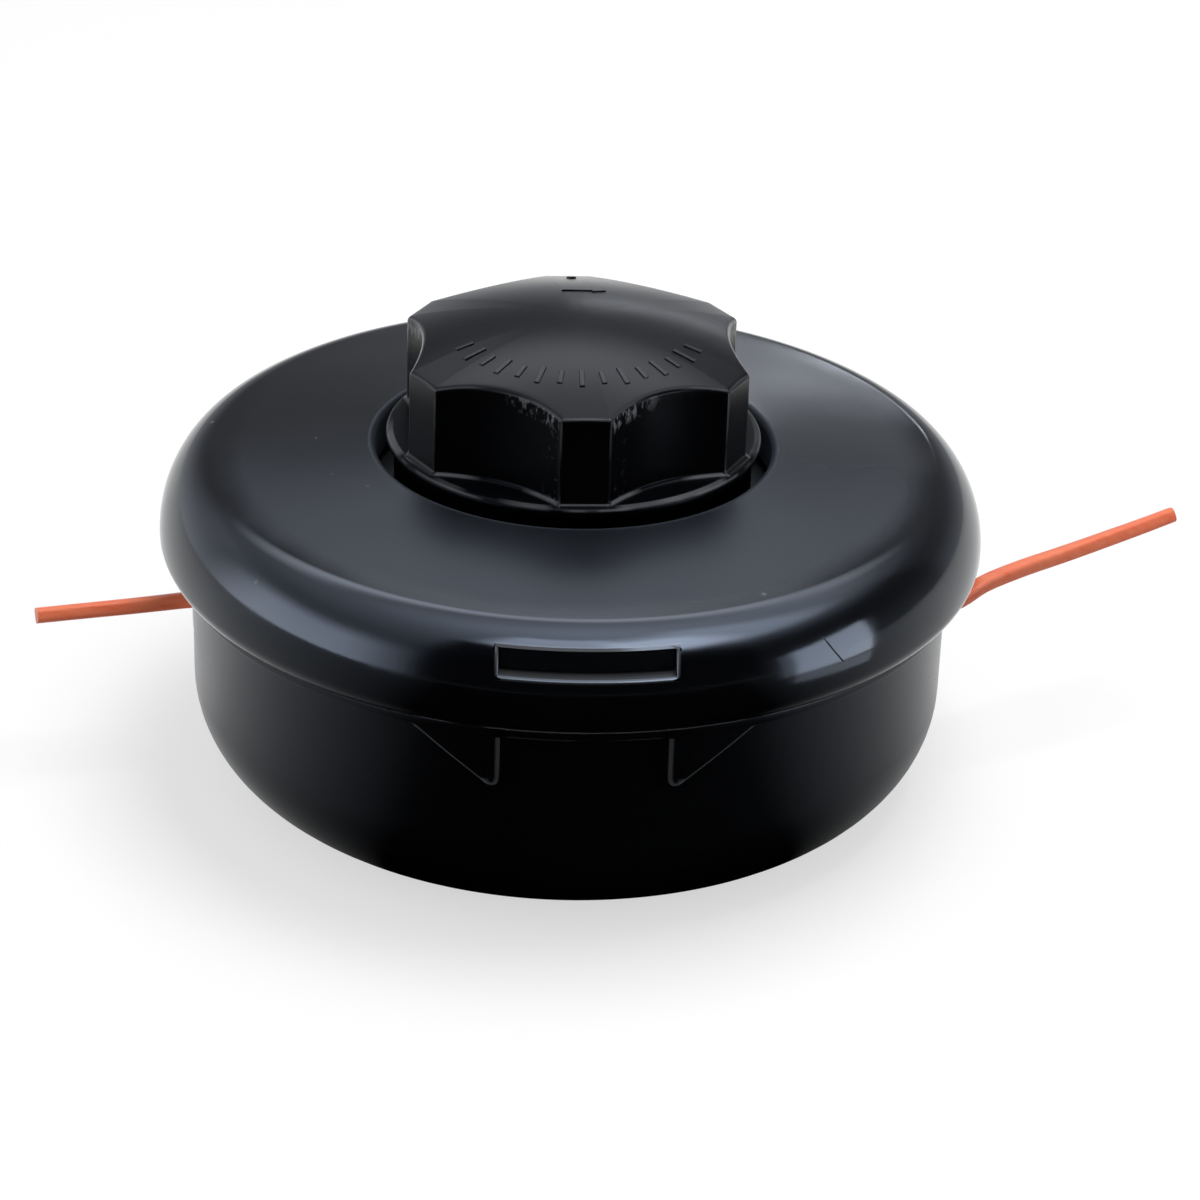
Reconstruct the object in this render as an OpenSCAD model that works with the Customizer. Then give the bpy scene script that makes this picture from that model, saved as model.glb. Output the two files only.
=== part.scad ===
// Tap-to-feed trimmer head, 130 mm, with two line tails.
// The frame's origin is the centre of the face that meets the gearbox, with +Z toward the knob.
// The latches lie on the Y axis and the line leaves along the X axis.

/* [Drum] */
// Outer diameter of the drum
drum_d = 120; // [116:0.5:122]
// Height of the ledge that carries the cover
drum_h = 37; // [36:0.5:42]
// Wall of the drum
drum_wall = 2.6; // [2.2:0.1:3]
// Thickness of the floor
floor_t = 4.4; // [4:0.1:5]
// Radius of the round edge between the floor and the wall
corner_r = 16; // [14:0.5:20]
// How far the ledge stands out from the drum
ledge_out = 2.4; // [1.8:0.1:2.6]
// Height of the ledge
ledge_h = 1.5; // [1.2:0.1:2.5]
// Height of the rim that rises inside the cover
rim_h = 7; // [5:0.5:8]
// Number of ribs under the floor
rib_count = 12; // [8:1:16]
// Depth of the channel between those ribs
channel_depth = 1.9; // [1:0.1:2.2]

/* [Latches] */
// Width of a latch tongue
latch_w = 23; // [20:0.5:25]
// Width of the slots that free the tongue
latch_slot = 1.2; // [0.8:0.1:1.6]
// Height of the hook's catch above the widest ring of the cover
hook_rise = 6.3; // [5.5:0.1:7]
// Height of the latch hook
hook_h = 3; // [2.4:0.1:3.2]
// How far the hook stands out
hook_out = 1.9; // [1.6:0.1:2.2]
// How far the guards beside a latch stand out
guard_out = 2.3; // [1.9:0.1:2.3]
// Width of a guard at its top
guard_w = 13.2; // [10:0.2:14]
// Height of a guard
guard_h = 8.5; // [7:0.5:10]

/* [Cover] */
// Room between the drum and the skirt of the cover
cover_clearance = 0.35; // [0.2:0.05:0.6]
// How far the widest ring stands out beyond the lower edge
cover_bulge = 2.25; // [1.5:0.05:3]
// Height of the widest ring above the lower edge
cover_belly_h = 3.4; // [2.5:0.1:5]
// Height of the round shoulder above the widest ring
shoulder_h = 12.3; // [11.5:0.1:14]
// Width of the round shoulder
shoulder_w = 9; // [8:0.2:11]
// Rise of the top from the shoulder to the opening
crown_rise = 2.2; // [1:0.1:4]
// Wall of the cover
cover_wall = 2.4; // [2:0.1:2.8]
// Depth of the collar round the opening
collar_depth = 6.4; // [4:0.2:7]
// Room above the hook in its window
window_room = 0.2; // [0.2:0.1:0.8]

/* [Feed] */
// Travel of the knob when it is tapped
travel = 6; // [5:0.5:6.5]
// Height of the lugs on the floor
lug_h = 4; // [3:0.5:4.5]
// Width of a lug in degrees
lug_angle = 8; // [6:1:10]
// Number of lugs on each side of the spool, twice those they meet
lug_count = 12; // [12:12:12]

/* [Spool] */
// Room between the flanges and the wall of the drum
flange_gap = 3.9; // [3.4:0.1:7]
// Thickness of the flanges
flange_t = 2.2; // [1.8:0.1:2.6]
// Wall of the core that the line is wound on
core_wall = 3; // [2.6:0.1:3.4]
// Thickness of the web inside the core
spool_web_t = 3; // [2.5:0.1:4]
// Height of the lugs on the spool's faces
tooth_h = 1.6; // [1.2:0.1:2]
// Width of the park notches
notch_w = 2.8; // [2.6:0.1:4]

/* [Line] */
// Diameter of the line
line_d = 2.4; // [2:0.1:2.7]
// Layers of line on each coil
line_layers = 9; // [3:1:10]

/* [Hub] */
// Wall of the hub round the head of the retaining bolt
hub_wall = 4.8; // [4.4:0.1:5.2]
// Thickness of the hub's web
hub_web_t = 3; // [2.5:0.1:4]
// Diameter of the seat for the gearbox flange
seat_d = 25; // [24:0.5:30]
// Depth of that seat
seat_depth = 2; // [1.5:0.1:2.5]

/* [Hardware] */
// Arbor nut, across flats
arbor_af = 17; // [17:0.1:18]
// Arbor nut, height
arbor_h = 8; // [6:0.5:9]
// Arbor nut, diameter of the bore
arbor_bore_d = 8.8; // [8.5:0.1:10.5]
// Retaining bolt, diameter
bolt_d = 8; // [6:0.5:8.5]
// Retaining bolt, head across flats
bolt_head_af = 13; // [12:0.5:13.5]
// Retaining bolt, height of the head
bolt_head_h = 4.5; // [4:0.1:5.5]
// Knob nut, across flats
knob_nut_af = 13; // [12:0.5:14]
// Knob nut, height
knob_nut_h = 8; // [6:0.5:9]
// Thickness of the washers
washer_t = 1; // [0.8:0.1:1.5]
// Spring wire
wire_d = 2.2; // [1.8:0.1:2.4]
// Turns of the spring
spring_turns = 6; // [5:0.5:7]
// Outer diameter of an eyelet's barrel
eyelet_d = 6.6; // [6:0.1:8]
// Wall of the eyelet
eyelet_wall = 1.3; // [1:0.1:1.4]
// Width of the eyelet's lip beyond the barrel
eyelet_lip = 1.6; // [1:0.1:2]
// Thickness of that lip
eyelet_lip_t = 0.8; // [0.6:0.1:1]
// Height of the eyelets
eyelet_z = 26; // [24:0.5:27]

/* [Knob] */
// Distance from the axis to the flat tips
knob_r = 28; // [26:0.2:28.3]
// Width of a flat tip
tip_w = 7.5; // [6.5:0.1:9]
// Depth of a scallop behind the line between two tips
scallop_depth = 2.2; // [1.4:0.1:3]
// Number of lobes
lobe_count = 6; // [6:1:6]
// How far the ring under the lobes stands out beyond their corners
ring_out = 1.25; // [1:0.05:1.5]
// Height of that ring
knob_ring_h = 1.8; // [1.4:0.1:2.4]
// Height of the ring's top above the lip of the cover
ring_rise = 2; // [1:0.1:3]
// Room between the ring and the opening of the cover
ring_gap = 1.7; // [1.5:0.1:2.5]
// Height of the lobes at their edge
lobe_h = 14.2; // [12:0.1:18]
// Rise of the domed end above that edge
dome_rise = 5; // [3:0.1:6]
// Round edge of the lobes
knob_edge_r = 0.8; // [0.6:0.1:2]
// Wall of the knob
knob_wall = 3; // [2.5:0.1:3.4]
// Turn of the knob against the latches, at rest
knob_turn = 1; // [-30:1:30]

/* [Hidden] */
$fn = 96;

// Clearances
seat_gap = 0.05;  // faces that rest on each other
fit_gap = 0.1;    // a pin, nut or bush in its hole
slide_gap = 0.3;  // parts that slide or lie loosely in each other
turn_gap = 0.1;   // faces that turn on each other
axial_gap = 0.6;  // lugs that pass over each other
stop_gap = 1;     // room left at the end of the travel
through = 1;      // how far a cutter reaches past what it cuts
sink = 0.5;       // how far forms of one piece reach into each other
chamfer = 0.3;    // cut off the corners of nuts and bolt heads

// Hub: the head of the retaining bolt slides in its bore
bolt_r = bolt_d / 2;
hub_bore_r = bolt_head_af / 2 / cos(30) + 0.9;
hub_r = hub_bore_r + hub_wall;
bush_r = bolt_r + 2.4;

// Spring: it stands round the hub, and the core of the spool goes round it
spring_r = hub_r + 1.5 + wire_d / 2;
core_inner_r = spring_r + wire_d / 2 + 1.7;
core_r = core_inner_r + core_wall;
washer_in_r = hub_r + 0.5;
washer_out_r = core_inner_r - 0.8;

// Knob, seen from above
tip_corner_r = norm([knob_r, tip_w / 2]);
tip_corner_a = 180 / lobe_count - atan2(tip_w / 2, knob_r);
scallop_r = tip_corner_r * cos(tip_corner_a) - scallop_depth;
scallop_half = tip_corner_r * sin(tip_corner_a);
scallop_cut_r = (scallop_half * scallop_half + scallop_depth * scallop_depth) / (2 * scallop_depth);
knob_ring_r = tip_corner_r + ring_out;
skirt_r = knob_ring_r - 1.3;
skirt_inner_r = skirt_r - knob_wall;
cavity_r = scallop_r - knob_wall;
opening_r = knob_ring_r + ring_gap;

// Drum
drum_r = drum_d / 2;
drum_inner_r = drum_r - drum_wall;
corner_c = drum_r - corner_r;
rim_top = drum_h + rim_h;
ledge_r = drum_r + ledge_out;
seat_land = 7;
channel_land = 4;
channel_in = seat_d / 2 + seat_land;
channel_out = corner_c - channel_land;
rib_w = 2;

// Stack on the axis, from the gearbox face up
arbor_z = seat_depth + fit_gap;
pocket_top = arbor_z + arbor_h + fit_gap;
head_z = pocket_top + stop_gap + travel;
bolt_washer_z = head_z + bolt_head_h + seat_gap;
web_z = bolt_washer_z + washer_t + seat_gap;
hub_top = web_z + hub_web_t;
spool_web_z = hub_top + stop_gap + travel;
spool_web_top = spool_web_z + spool_web_t;
knob_washer_z = spool_web_top + seat_gap;
boss_z = knob_washer_z + washer_t + seat_gap;

// Spool
spool_rise = 10;
spool_z = floor_t + lug_h + axial_gap + travel;
spool_top = drum_h + spool_rise;
flange_r = drum_inner_r - flange_gap;
divider_t = 1.8;
divider_r = flange_r - 4;
divider_z = (spool_z + spool_top - divider_t) / 2;
flange_notch = 7;
divider_notch = 9;
lower_lug_r = core_r + 4.4;
lower_lug_w = 8;
upper_lug_r = opening_r + 8.8;
upper_lug_w = 6;
lug_pitch = 360 / lug_count;
dog_count = 3;
dog_angle = 24;
dog_depth = 2;

// Cover
cover_z = drum_h + seat_gap;
cover_edge_r = drum_r + cover_clearance + cover_wall;
cover_r = cover_edge_r + cover_bulge;
belly_z = cover_z + cover_belly_h;
shoulder_z = belly_z + shoulder_h;
shoulder_r = cover_r - shoulder_w;
lip_z = shoulder_z + crown_rise;
collar_wall = 2.2;
lip_round = 0.9;

// Latches: the hook bears on the lower edge of the cover's window
latch_root_z = drum_h - ledge_h;
hook_z = belly_z + hook_rise;
hook_gap = 0.3;
hook_side_gap = 1.3;
hook_draft = 0.3;
window_z = hook_z - hook_gap;
window_h = hook_gap + hook_h + window_room;
window_w = latch_w + 2 * hook_side_gap;
guard_x = latch_w / 2 + latch_slot - 0.35;
guard_z = drum_h - ledge_h - guard_h;
guard_round = 1.2;

// Spring, along the axis
spring_seat_z = floor_t + seat_gap;
spring_z = spring_seat_z + washer_t + seat_gap;
spring_washer_z = spool_web_z - turn_gap - washer_t;
spring_top = spring_washer_z - seat_gap;
spring_end_rise = 0.35;

// Eyelets: the lip lies flush in a recess of the drum
eyelet_r = eyelet_d / 2;
eyelet_bore_r = eyelet_r - eyelet_wall;
eyelet_lip_r = eyelet_r + eyelet_lip;
eyelet_flare = 0.6;

// Knob, along the axis
ring_z = lip_z + ring_rise - knob_ring_h;
lobe_z = ring_z + knob_ring_h;
lobe_top = lobe_z + lobe_h;
knob_top = lobe_top + dome_rise;
dome_r = (knob_r * knob_r + dome_rise * dome_rise) / (2 * dome_rise);
boss_r = knob_nut_af / 2 / cos(30) + 2.4;
knob_nut_z = boss_z + 3.9;
bolt_end_z = knob_nut_z + knob_nut_h + 2.5;
cavity_top = lobe_top - knob_wall - 2;
skirt_z = spool_top + slide_gap;
knob_rib_w = 2;
knob_dog_rise = 4;

// Coils
layer_share = 0.9;
coil_r = core_r + fit_gap + line_layers * line_d * layer_share;
lower_room = [spool_z + flange_t, divider_z];
upper_room = [divider_z + divider_t, spool_top - flange_t];

// Routes of the line outside the spool, point by point
route_left = [
    [-54.4, 0, 26], [-60, 0, 26], [-65, -0.8, 25.8], [-70, -1.7, 25.6],
    [-75, -2.7, 25.5], [-80, -3.9, 25.5], [-84.6, -5.2, 25.6]
];
route_right = [
    [54.4, 0, 26], [60, 0, 26], [63.5, 0.8, 26.8], [67.5, 2.8, 28.6], [74, 6.4, 29.6],
    [81, 10.2, 30.2], [88, 14, 30.9], [95, 17.9, 31.6], [101, 21.4, 32.2]
];
line_sides = 8;

function unit(v) = v / norm(v);

// Direction of the line from a corner that touches a round of radius r, on its right
function tangent_angle(corner, centre, r) =
    let (to = centre - corner)
    atan2(to.y, to.x) - asin(r / norm(to));

// Direction of a route at point i, from its neighbours on both sides
function heading(route, i) =
    unit(route[min(i + 1, len(route) - 1)] - route[max(i - 1, 0)]);

// One ring of a swept tube, square to the heading
function ring(centre, along, r, sides) =
    let (side = unit(cross([0, 0, 1], along)), up = cross(along, side))
    [for (k = [0 : sides - 1])
        let (a = 360 * (k + 0.5) / sides)
        centre + r * (cos(a) * side + sin(a) * up)];

// Faces of a tube that is made of rings of points, with closed ends
function tube_faces(rings, sides) = concat(
    [[for (k = [0 : sides - 1]) sides - 1 - k]],
    [for (i = [0 : rings - 2], k = [0 : sides - 1])
        let (a = i * sides + k, b = i * sides + (k + 1) % sides)
        [a, b, b + sides, a + sides]],
    [[for (k = [0 : sides - 1]) (rings - 1) * sides + k]]
);

module tube_along(route, r) {
    points = [for (i = [0 : len(route) - 1]) each ring(route[i], heading(route, i), r, line_sides)];
    polyhedron(points, tube_faces(len(route), line_sides));
}

module at_both_sides() {
    for (a = [0, 180]) rotate([0, 0, a]) children();
}

module hexagon(af, h) {
    cylinder(h = h, r = af / 2 / cos(30), $fn = 6);
}

module washer(z, r_in, r_out, t) {
    translate([0, 0, z]) difference() {
        cylinder(h = t, r = r_out);
        translate([0, 0, -through]) cylinder(h = t + 2 * through, r = r_in);
    }
}

module tube_between(r_in, r_out, z0, z1) {
    washer(z0, r_in, r_out, z1 - z0);
}

// A sector of a ring, its middle at the angle a
module ring_sector(r_in, r_out, z0, z1, a, width) {
    rotate([0, 0, a - width / 2])
        rotate_extrude(angle = width)
            translate([r_in, z0]) square([r_out - r_in, z1 - z0]);
}

// Drum

module drum_outline() {
    square([corner_c, rim_top]);
    translate([0, corner_r]) square([drum_r, rim_top - corner_r]);
    translate([0, drum_h - ledge_h]) square([ledge_r, ledge_h]);
    intersection() {
        translate([corner_c, corner_r]) circle(r = corner_r);
        square([drum_r, corner_r]);
    }
}

module drum_room() {
    translate([0, corner_r]) square([drum_inner_r, rim_top]);
    intersection() {
        union() {
            square([corner_c, rim_top]);
            translate([corner_c, corner_r]) circle(r = corner_r - drum_wall);
        }
        translate([0, floor_t]) square([drum_inner_r, rim_top]);
    }
}

// A latch tongue with its hook, on the side of +Y
module latch_tongue() {
    intersection() {
        tube_between(drum_inner_r, drum_r, drum_h, hook_z + hook_h);
        translate([-latch_w / 2, 0, 0]) cube([latch_w, 2 * drum_r, 2 * drum_r]);
    }
    intersection() {
        rotate_extrude() polygon([
            [drum_inner_r, hook_z],
            [drum_r + hook_out, hook_z],
            [drum_r + hook_out - hook_draft, hook_z + hook_h / 2],
            [drum_r, hook_z + hook_h],
            [drum_inner_r, hook_z + hook_h]
        ]);
        translate([-latch_w / 2, 0, 0]) cube([latch_w, 2 * drum_r, 2 * drum_r]);
    }
}

// One of the two ribs that keep a latch from being pressed by accident: upright beside the
// latch, round at its foot, and slanted on the far side
module guard() {
    steps = 8;
    centre = [-guard_x - guard_round, guard_z + guard_round];
    corner = [-guard_x - guard_w, guard_z + guard_h];
    round_end = tangent_angle(corner, centre, guard_round) - 90;
    intersection() {
        tube_between(drum_r - sink, drum_r + guard_out, 0, drum_h);
        rotate([90, 0, 180]) linear_extrude(height = 2 * drum_r) polygon(concat(
            [[-guard_x, guard_z + guard_h]],
            [for (i = [0 : steps])
                let (a = round_end * i / steps)
                centre + guard_round * [cos(a), sin(a)]],
            [corner]
        ));
    }
}

module floor_channel() {
    difference() {
        tube_between(channel_in, channel_out, -through, channel_depth);
        for (i = [0 : rib_count - 1])
            rotate([0, 0, 360 * (i + 0.5) / rib_count])
                translate([0, -rib_w / 2, -2 * through])
                    cube([drum_r, rib_w, channel_depth + 4 * through]);
    }
}

// Hole for the barrel of the eyelet, with the recess for its lip
module eyelet_seat() {
    translate([0, 0, eyelet_z]) rotate([0, 90, 0]) {
        cylinder(h = drum_r + through, r = eyelet_r + fit_gap);
        translate([0, 0, drum_r - eyelet_lip_t - seat_gap])
            cylinder(h = eyelet_lip_t + through, r = eyelet_lip_r + fit_gap);
    }
}

module housing() color([0.03, 0.03, 0.035]) {
    difference() {
        union() {
            difference() {
                rotate_extrude() drum_outline();
                rotate_extrude() drum_room();
            }
            cylinder(h = hub_top, r = hub_r);
            for (i = [0 : lug_count / 2 - 1])
                ring_sector(lower_lug_r, lower_lug_r + lower_lug_w, floor_t - sink, floor_t + lug_h,
                    2 * lug_pitch * i, lug_angle);
            at_both_sides() {
                latch_tongue();
                guard();
                mirror([1, 0, 0]) guard();
            }
        }
        floor_channel();
        translate([0, 0, -through]) cylinder(h = seat_depth + through, r = seat_d / 2);
        hexagon(arbor_af + 2 * fit_gap, pocket_top);
        cylinder(h = web_z, r = hub_bore_r);
        cylinder(h = hub_top + through, r = bush_r + fit_gap);
        at_both_sides() {
            eyelet_seat();
            for (s = [-1, 1])
                translate([s * (latch_w + latch_slot) / 2 - latch_slot / 2, corner_c, latch_root_z])
                    cube([latch_slot, drum_r, ledge_h + rim_h + through]);
        }
    }
}

module arbor_nut() color([0.62, 0.63, 0.65]) {
    translate([0, 0, arbor_z]) difference() {
        intersection() {
            hexagon(arbor_af, arbor_h);
            cylinder(h = arbor_h, r = arbor_af / 2 / cos(30) - chamfer);
        }
        translate([0, 0, -through]) cylinder(h = arbor_h + 2 * through, r = arbor_bore_d / 2);
    }
}

module hub_sleeve() color([0.78, 0.63, 0.32]) {
    tube_between(bolt_r + slide_gap, bush_r, web_z, hub_top);
}

// The eyelet on the side of +X: a barrel with a round lip and a flared mouth
module eyelet() {
    translate([0, 0, eyelet_z]) rotate([0, 90, 0]) rotate_extrude() difference() {
        union() {
            translate([eyelet_bore_r, drum_inner_r - slide_gap])
                square([eyelet_wall, drum_wall + slide_gap]);
            translate([eyelet_bore_r, drum_r - eyelet_lip_t])
                square([eyelet_lip_r - eyelet_bore_r - eyelet_lip_t / 2, eyelet_lip_t]);
            translate([eyelet_lip_r - eyelet_lip_t / 2, drum_r - eyelet_lip_t / 2])
                circle(d = eyelet_lip_t);
        }
        polygon([
            [eyelet_bore_r - through, drum_r - eyelet_flare],
            [eyelet_bore_r, drum_r - eyelet_flare],
            [eyelet_bore_r + eyelet_flare + through, drum_r + through],
            [eyelet_bore_r - through, drum_r + through]
        ]);
    }
}

module eyelet_right() color([0.75, 0.76, 0.78]) eyelet();

module eyelet_left() color([0.75, 0.76, 0.78]) rotate([0, 0, 180]) eyelet();

// Cover

// Outside of the cover, drawn in by the given wall
module cover_outline(wall) {
    steps = 18;
    foot_z = cover_z - (wall > 0 ? through : 0);
    polygon(concat(
        [[0, foot_z], [cover_edge_r - wall, foot_z], [cover_edge_r - wall, cover_z]],
        [for (i = [0 : steps])
            let (a = 90 * i / steps)
            [shoulder_r + (shoulder_w - wall) * cos(a), belly_z + (shoulder_h - wall) * sin(a)]],
        [[opening_r, lip_z - wall], [0, lip_z - wall]]
    ));
}

module cover_window() {
    translate([-window_w / 2, shoulder_r - cover_wall, window_z])
        cube([window_w, cover_r, window_h]);
}

module cover() color([0.05, 0.055, 0.06]) {
    difference() {
        union() {
            difference() {
                rotate_extrude() cover_outline(0);
                rotate_extrude() cover_outline(cover_wall);
            }
            tube_between(opening_r - sink, opening_r + collar_wall, lip_z - collar_depth, lip_z - sink);
            intersection() {
                for (i = [0 : lug_count / 2 - 1])
                    ring_sector(upper_lug_r, upper_lug_r + upper_lug_w, spool_top + axial_gap, lip_z,
                        2 * lug_pitch * i, lug_angle);
                rotate_extrude() cover_outline(cover_wall / 2);
            }
        }
        translate([0, 0, cover_z]) cylinder(h = lip_z, r = opening_r);
        rotate_extrude() translate([opening_r, lip_z]) difference() {
            translate([-through, -lip_round]) square([lip_round + through, lip_round + through]);
            translate([lip_round, -lip_round]) circle(r = lip_round, $fn = 32);
        }
        at_both_sides() cover_window();
    }
}

// Feed

module spring_seat_washer() color([0.6, 0.61, 0.63])
    washer(spring_seat_z, washer_in_r, washer_out_r, washer_t);

module spring_washer() color([0.6, 0.61, 0.63])
    washer(spring_washer_z, washer_in_r, washer_out_r, washer_t);

// Height of the wire's centre after a share t of the turns, closed at both ends
function spring_rise(t) =
    let (run = spring_top - spring_z - wire_d,
         flat_share = 0.75 / spring_turns,
         u = max(0, min(1, (t - flat_share) / (1 - 2 * flat_share))))
    wire_d / 2 + spring_end_rise * min(t, flat_share) / flat_share
        + (run - 2 * spring_end_rise) * u
        + spring_end_rise * max(0, t - 1 + flat_share) / flat_share;

module spring() color([0.55, 0.56, 0.58]) {
    per_turn = 18;
    sides = 6;
    rings = spring_turns * per_turn + 1;
    points = [for (i = [0 : rings - 1])
        let (t = i / (rings - 1), a = 360 * spring_turns * t)
        each [for (k = [0 : sides - 1])
            let (b = 360 * k / sides, r = spring_r + wire_d / 2 * cos(b))
            [r * cos(a), r * sin(a), spring_z + spring_rise(t) + wire_d / 2 * sin(b)]]];
    faces = concat(
        [[for (k = [0 : sides - 1]) sides - 1 - k]],
        [for (i = [0 : rings - 2], k = [0 : sides - 1])
            let (p = i * sides + k, q = i * sides + (k + 1) % sides)
            each [[p, q, q + sides], [p, q + sides, p + sides]]],
        [[for (k = [0 : sides - 1]) (rings - 1) * sides + k]]
    );
    mirror([1, 0, 0]) polyhedron(points, faces);
}

module spool_lugs(r, w, z0, z1) {
    for (i = [0 : lug_count - 1])
        ring_sector(r, r + w, z0, z1, lug_pitch * (i + 0.5), lug_angle);
}

// Notches in the edge of a plate of radius r, where the line is parked or crosses over
module notches(r, depth, z, t) {
    for (a = [lug_pitch, lug_pitch + 180])
        rotate([0, 0, a]) translate([r - depth, -notch_w / 2, z - through])
            cube([depth + through, notch_w, t + 2 * through]);
}

module spool() color([0.09, 0.09, 0.1]) {
    difference() {
        union() {
            tube_between(core_inner_r, core_r, spool_z, spool_top);
            tube_between(core_r - sink, flange_r, spool_z, spool_z + flange_t);
            tube_between(core_r - sink, divider_r, divider_z, divider_z + divider_t);
            tube_between(core_r - sink, flange_r, spool_top - flange_t, spool_top);
            tube_between(bush_r + fit_gap, core_inner_r + sink, spool_web_z, spool_web_top);
            spool_lugs(lower_lug_r, lower_lug_w, spool_z - tooth_h, spool_z + sink);
            spool_lugs(upper_lug_r, upper_lug_w, spool_top - sink, spool_top + tooth_h);
            for (i = [0 : dog_count - 1])
                ring_sector(core_inner_r - dog_depth, core_inner_r + sink, spool_web_top - sink,
                    spool_top, 360 * i / dog_count, dog_angle);
        }
        notches(flange_r, flange_notch, spool_z, flange_t);
        notches(flange_r, flange_notch, spool_top - flange_t, flange_t);
        notches(divider_r, divider_notch, divider_z, divider_t);
    }
}

module spool_bush() color([0.78, 0.63, 0.32])
    tube_between(bolt_r + fit_gap, bush_r, spool_web_z, spool_web_top);

// A wound coil: the outer layer shows its turns
module line_coil(room) {
    z0 = room[0] + 2 * fit_gap;
    z1 = room[1] - 2 * fit_gap;
    turns = floor((z1 - z0) / line_d);
    pitch = (z1 - z0) / turns;
    outer_turn_r = coil_r - line_d / 2;
    rotate_extrude() {
        translate([core_r + fit_gap, z0]) square([outer_turn_r - core_r - fit_gap, z1 - z0]);
        for (i = [0 : turns - 1])
            translate([outer_turn_r - fit_gap, z0 + pitch * (i + 0.5)])
                circle(r = line_d / 2, $fn = 24);
    }
}

module line_coil_lower() color([1, 0.36, 0.16]) line_coil(lower_room);

module line_coil_upper() color([1, 0.36, 0.16]) line_coil(upper_room);

// Knob

// Plan of the lobes: flat tips with a wide scallop between each two
module lobe_plan() {
    difference() {
        rotate([0, 0, 180 / lobe_count]) circle(r = knob_r / cos(180 / lobe_count), $fn = lobe_count);
        for (i = [0 : lobe_count - 1])
            rotate([0, 0, 360 * (i + 0.5) / lobe_count])
                translate([scallop_r + scallop_cut_r, 0]) circle(r = scallop_cut_r);
    }
}

// Side view of the domed end, its edge rounded
module dome_outline() {
    edge_c = tip_corner_r - knob_edge_r;
    intersection() {
        translate([0, knob_top - dome_r]) circle(r = dome_r, $fn = 256);
        union() {
            translate([0, boss_z]) square([edge_c, knob_top - boss_z]);
            translate([0, boss_z]) square([tip_corner_r, lobe_top - knob_edge_r - boss_z]);
            translate([edge_c, lobe_top - knob_edge_r]) circle(r = knob_edge_r, $fn = 32);
        }
    }
}

// Lobes, ring and skirt, still solid
module knob_body() {
    intersection() {
        translate([0, 0, lobe_z - sink]) rotate([0, 0, 30])
            linear_extrude(height = knob_top - lobe_z + through) lobe_plan();
        rotate_extrude() dome_outline();
    }
    rotate_extrude() {
        translate([0, ring_z]) square([knob_ring_r - knob_ring_h / 2, knob_ring_h]);
        translate([knob_ring_r - knob_ring_h / 2, ring_z + knob_ring_h / 2])
            circle(d = knob_ring_h, $fn = 32);
    }
    translate([0, 0, skirt_z]) cylinder(h = ring_z + sink - skirt_z, r = skirt_r);
}

// Ribs between the boss and the lobes, and the dogs that the spool drives
module knob_ribs() {
    for (i = [0 : lobe_count - 1])
        rotate([0, 0, 360 * (i + 0.5) / lobe_count])
            translate([boss_r - through, -knob_rib_w / 2, ring_z])
                cube([cavity_r - boss_r + through + sink, knob_rib_w, cavity_top - ring_z + sink]);
    for (i = [0 : dog_count - 1]) {
        a = 180 / dog_count + 360 * i / dog_count;
        ring_sector(boss_r - through, core_inner_r - slide_gap, boss_z,
            spool_top + knob_dog_rise, a, dog_angle);
        ring_sector(core_inner_r - slide_gap - through, skirt_inner_r + sink, skirt_z,
            ring_z + sink, a, dog_angle);
    }
}

module bump_knob() color([0.1, 0.1, 0.105]) rotate([0, 0, knob_turn]) {
    difference() {
        union() {
            difference() {
                knob_body();
                translate([0, 0, spool_top]) cylinder(h = ring_z - spool_top, r = skirt_inner_r);
                cylinder(h = cavity_top, r = cavity_r);
            }
            translate([0, 0, boss_z]) cylinder(h = cavity_top - boss_z + sink, r = boss_r);
            knob_ribs();
        }
        translate([0, 0, boss_z - through])
            cylinder(h = bolt_end_z + 2 * through - boss_z, r = bolt_r + slide_gap);
        translate([0, 0, knob_nut_z - seat_gap])
            hexagon(knob_nut_af + 2 * seat_gap, knob_nut_h + 2 * seat_gap);
    }
}

module knob_nut() color([0.62, 0.63, 0.65]) {
    translate([0, 0, knob_nut_z]) rotate([0, 0, knob_turn]) difference() {
        hexagon(knob_nut_af, knob_nut_h);
        translate([0, 0, -through]) cylinder(h = knob_nut_h + 2 * through, r = bolt_r + fit_gap);
    }
}

module knob_washer() color([0.62, 0.63, 0.65])
    washer(knob_washer_z, bolt_r + slide_gap, boss_r - slide_gap, washer_t);

module retaining_bolt() color([0.62, 0.63, 0.65]) {
    translate([0, 0, head_z]) intersection() {
        hexagon(bolt_head_af, bolt_head_h);
        cylinder(h = bolt_head_h, r = bolt_head_af / 2 / cos(30) - chamfer);
    }
    translate([0, 0, head_z + sink]) cylinder(h = bolt_end_z - head_z - sink, r = bolt_r);
}

module bolt_washer() color([0.62, 0.63, 0.65])
    washer(bolt_washer_z, bolt_r + slide_gap, hub_bore_r - 0.5, washer_t);

// Line outside the spool

module line_tail_left() color([1, 0.36, 0.16]) tube_along(route_left, line_d / 2);

module line_tail_right() color([1, 0.36, 0.16]) tube_along(route_right, line_d / 2);

housing();
arbor_nut();
hub_sleeve();
eyelet_left();
eyelet_right();
cover();
spring_seat_washer();
spring();
spring_washer();
spool();
spool_bush();
line_coil_lower();
line_coil_upper();
bump_knob();
knob_nut();
knob_washer();
retaining_bolt();
bolt_washer();
line_tail_left();
line_tail_right();
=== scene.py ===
"""A tap-to-feed trimmer head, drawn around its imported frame, knob up on a pale studio floor."""

import math

import bmesh
import bpy
from mathutils import Matrix, Vector


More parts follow.
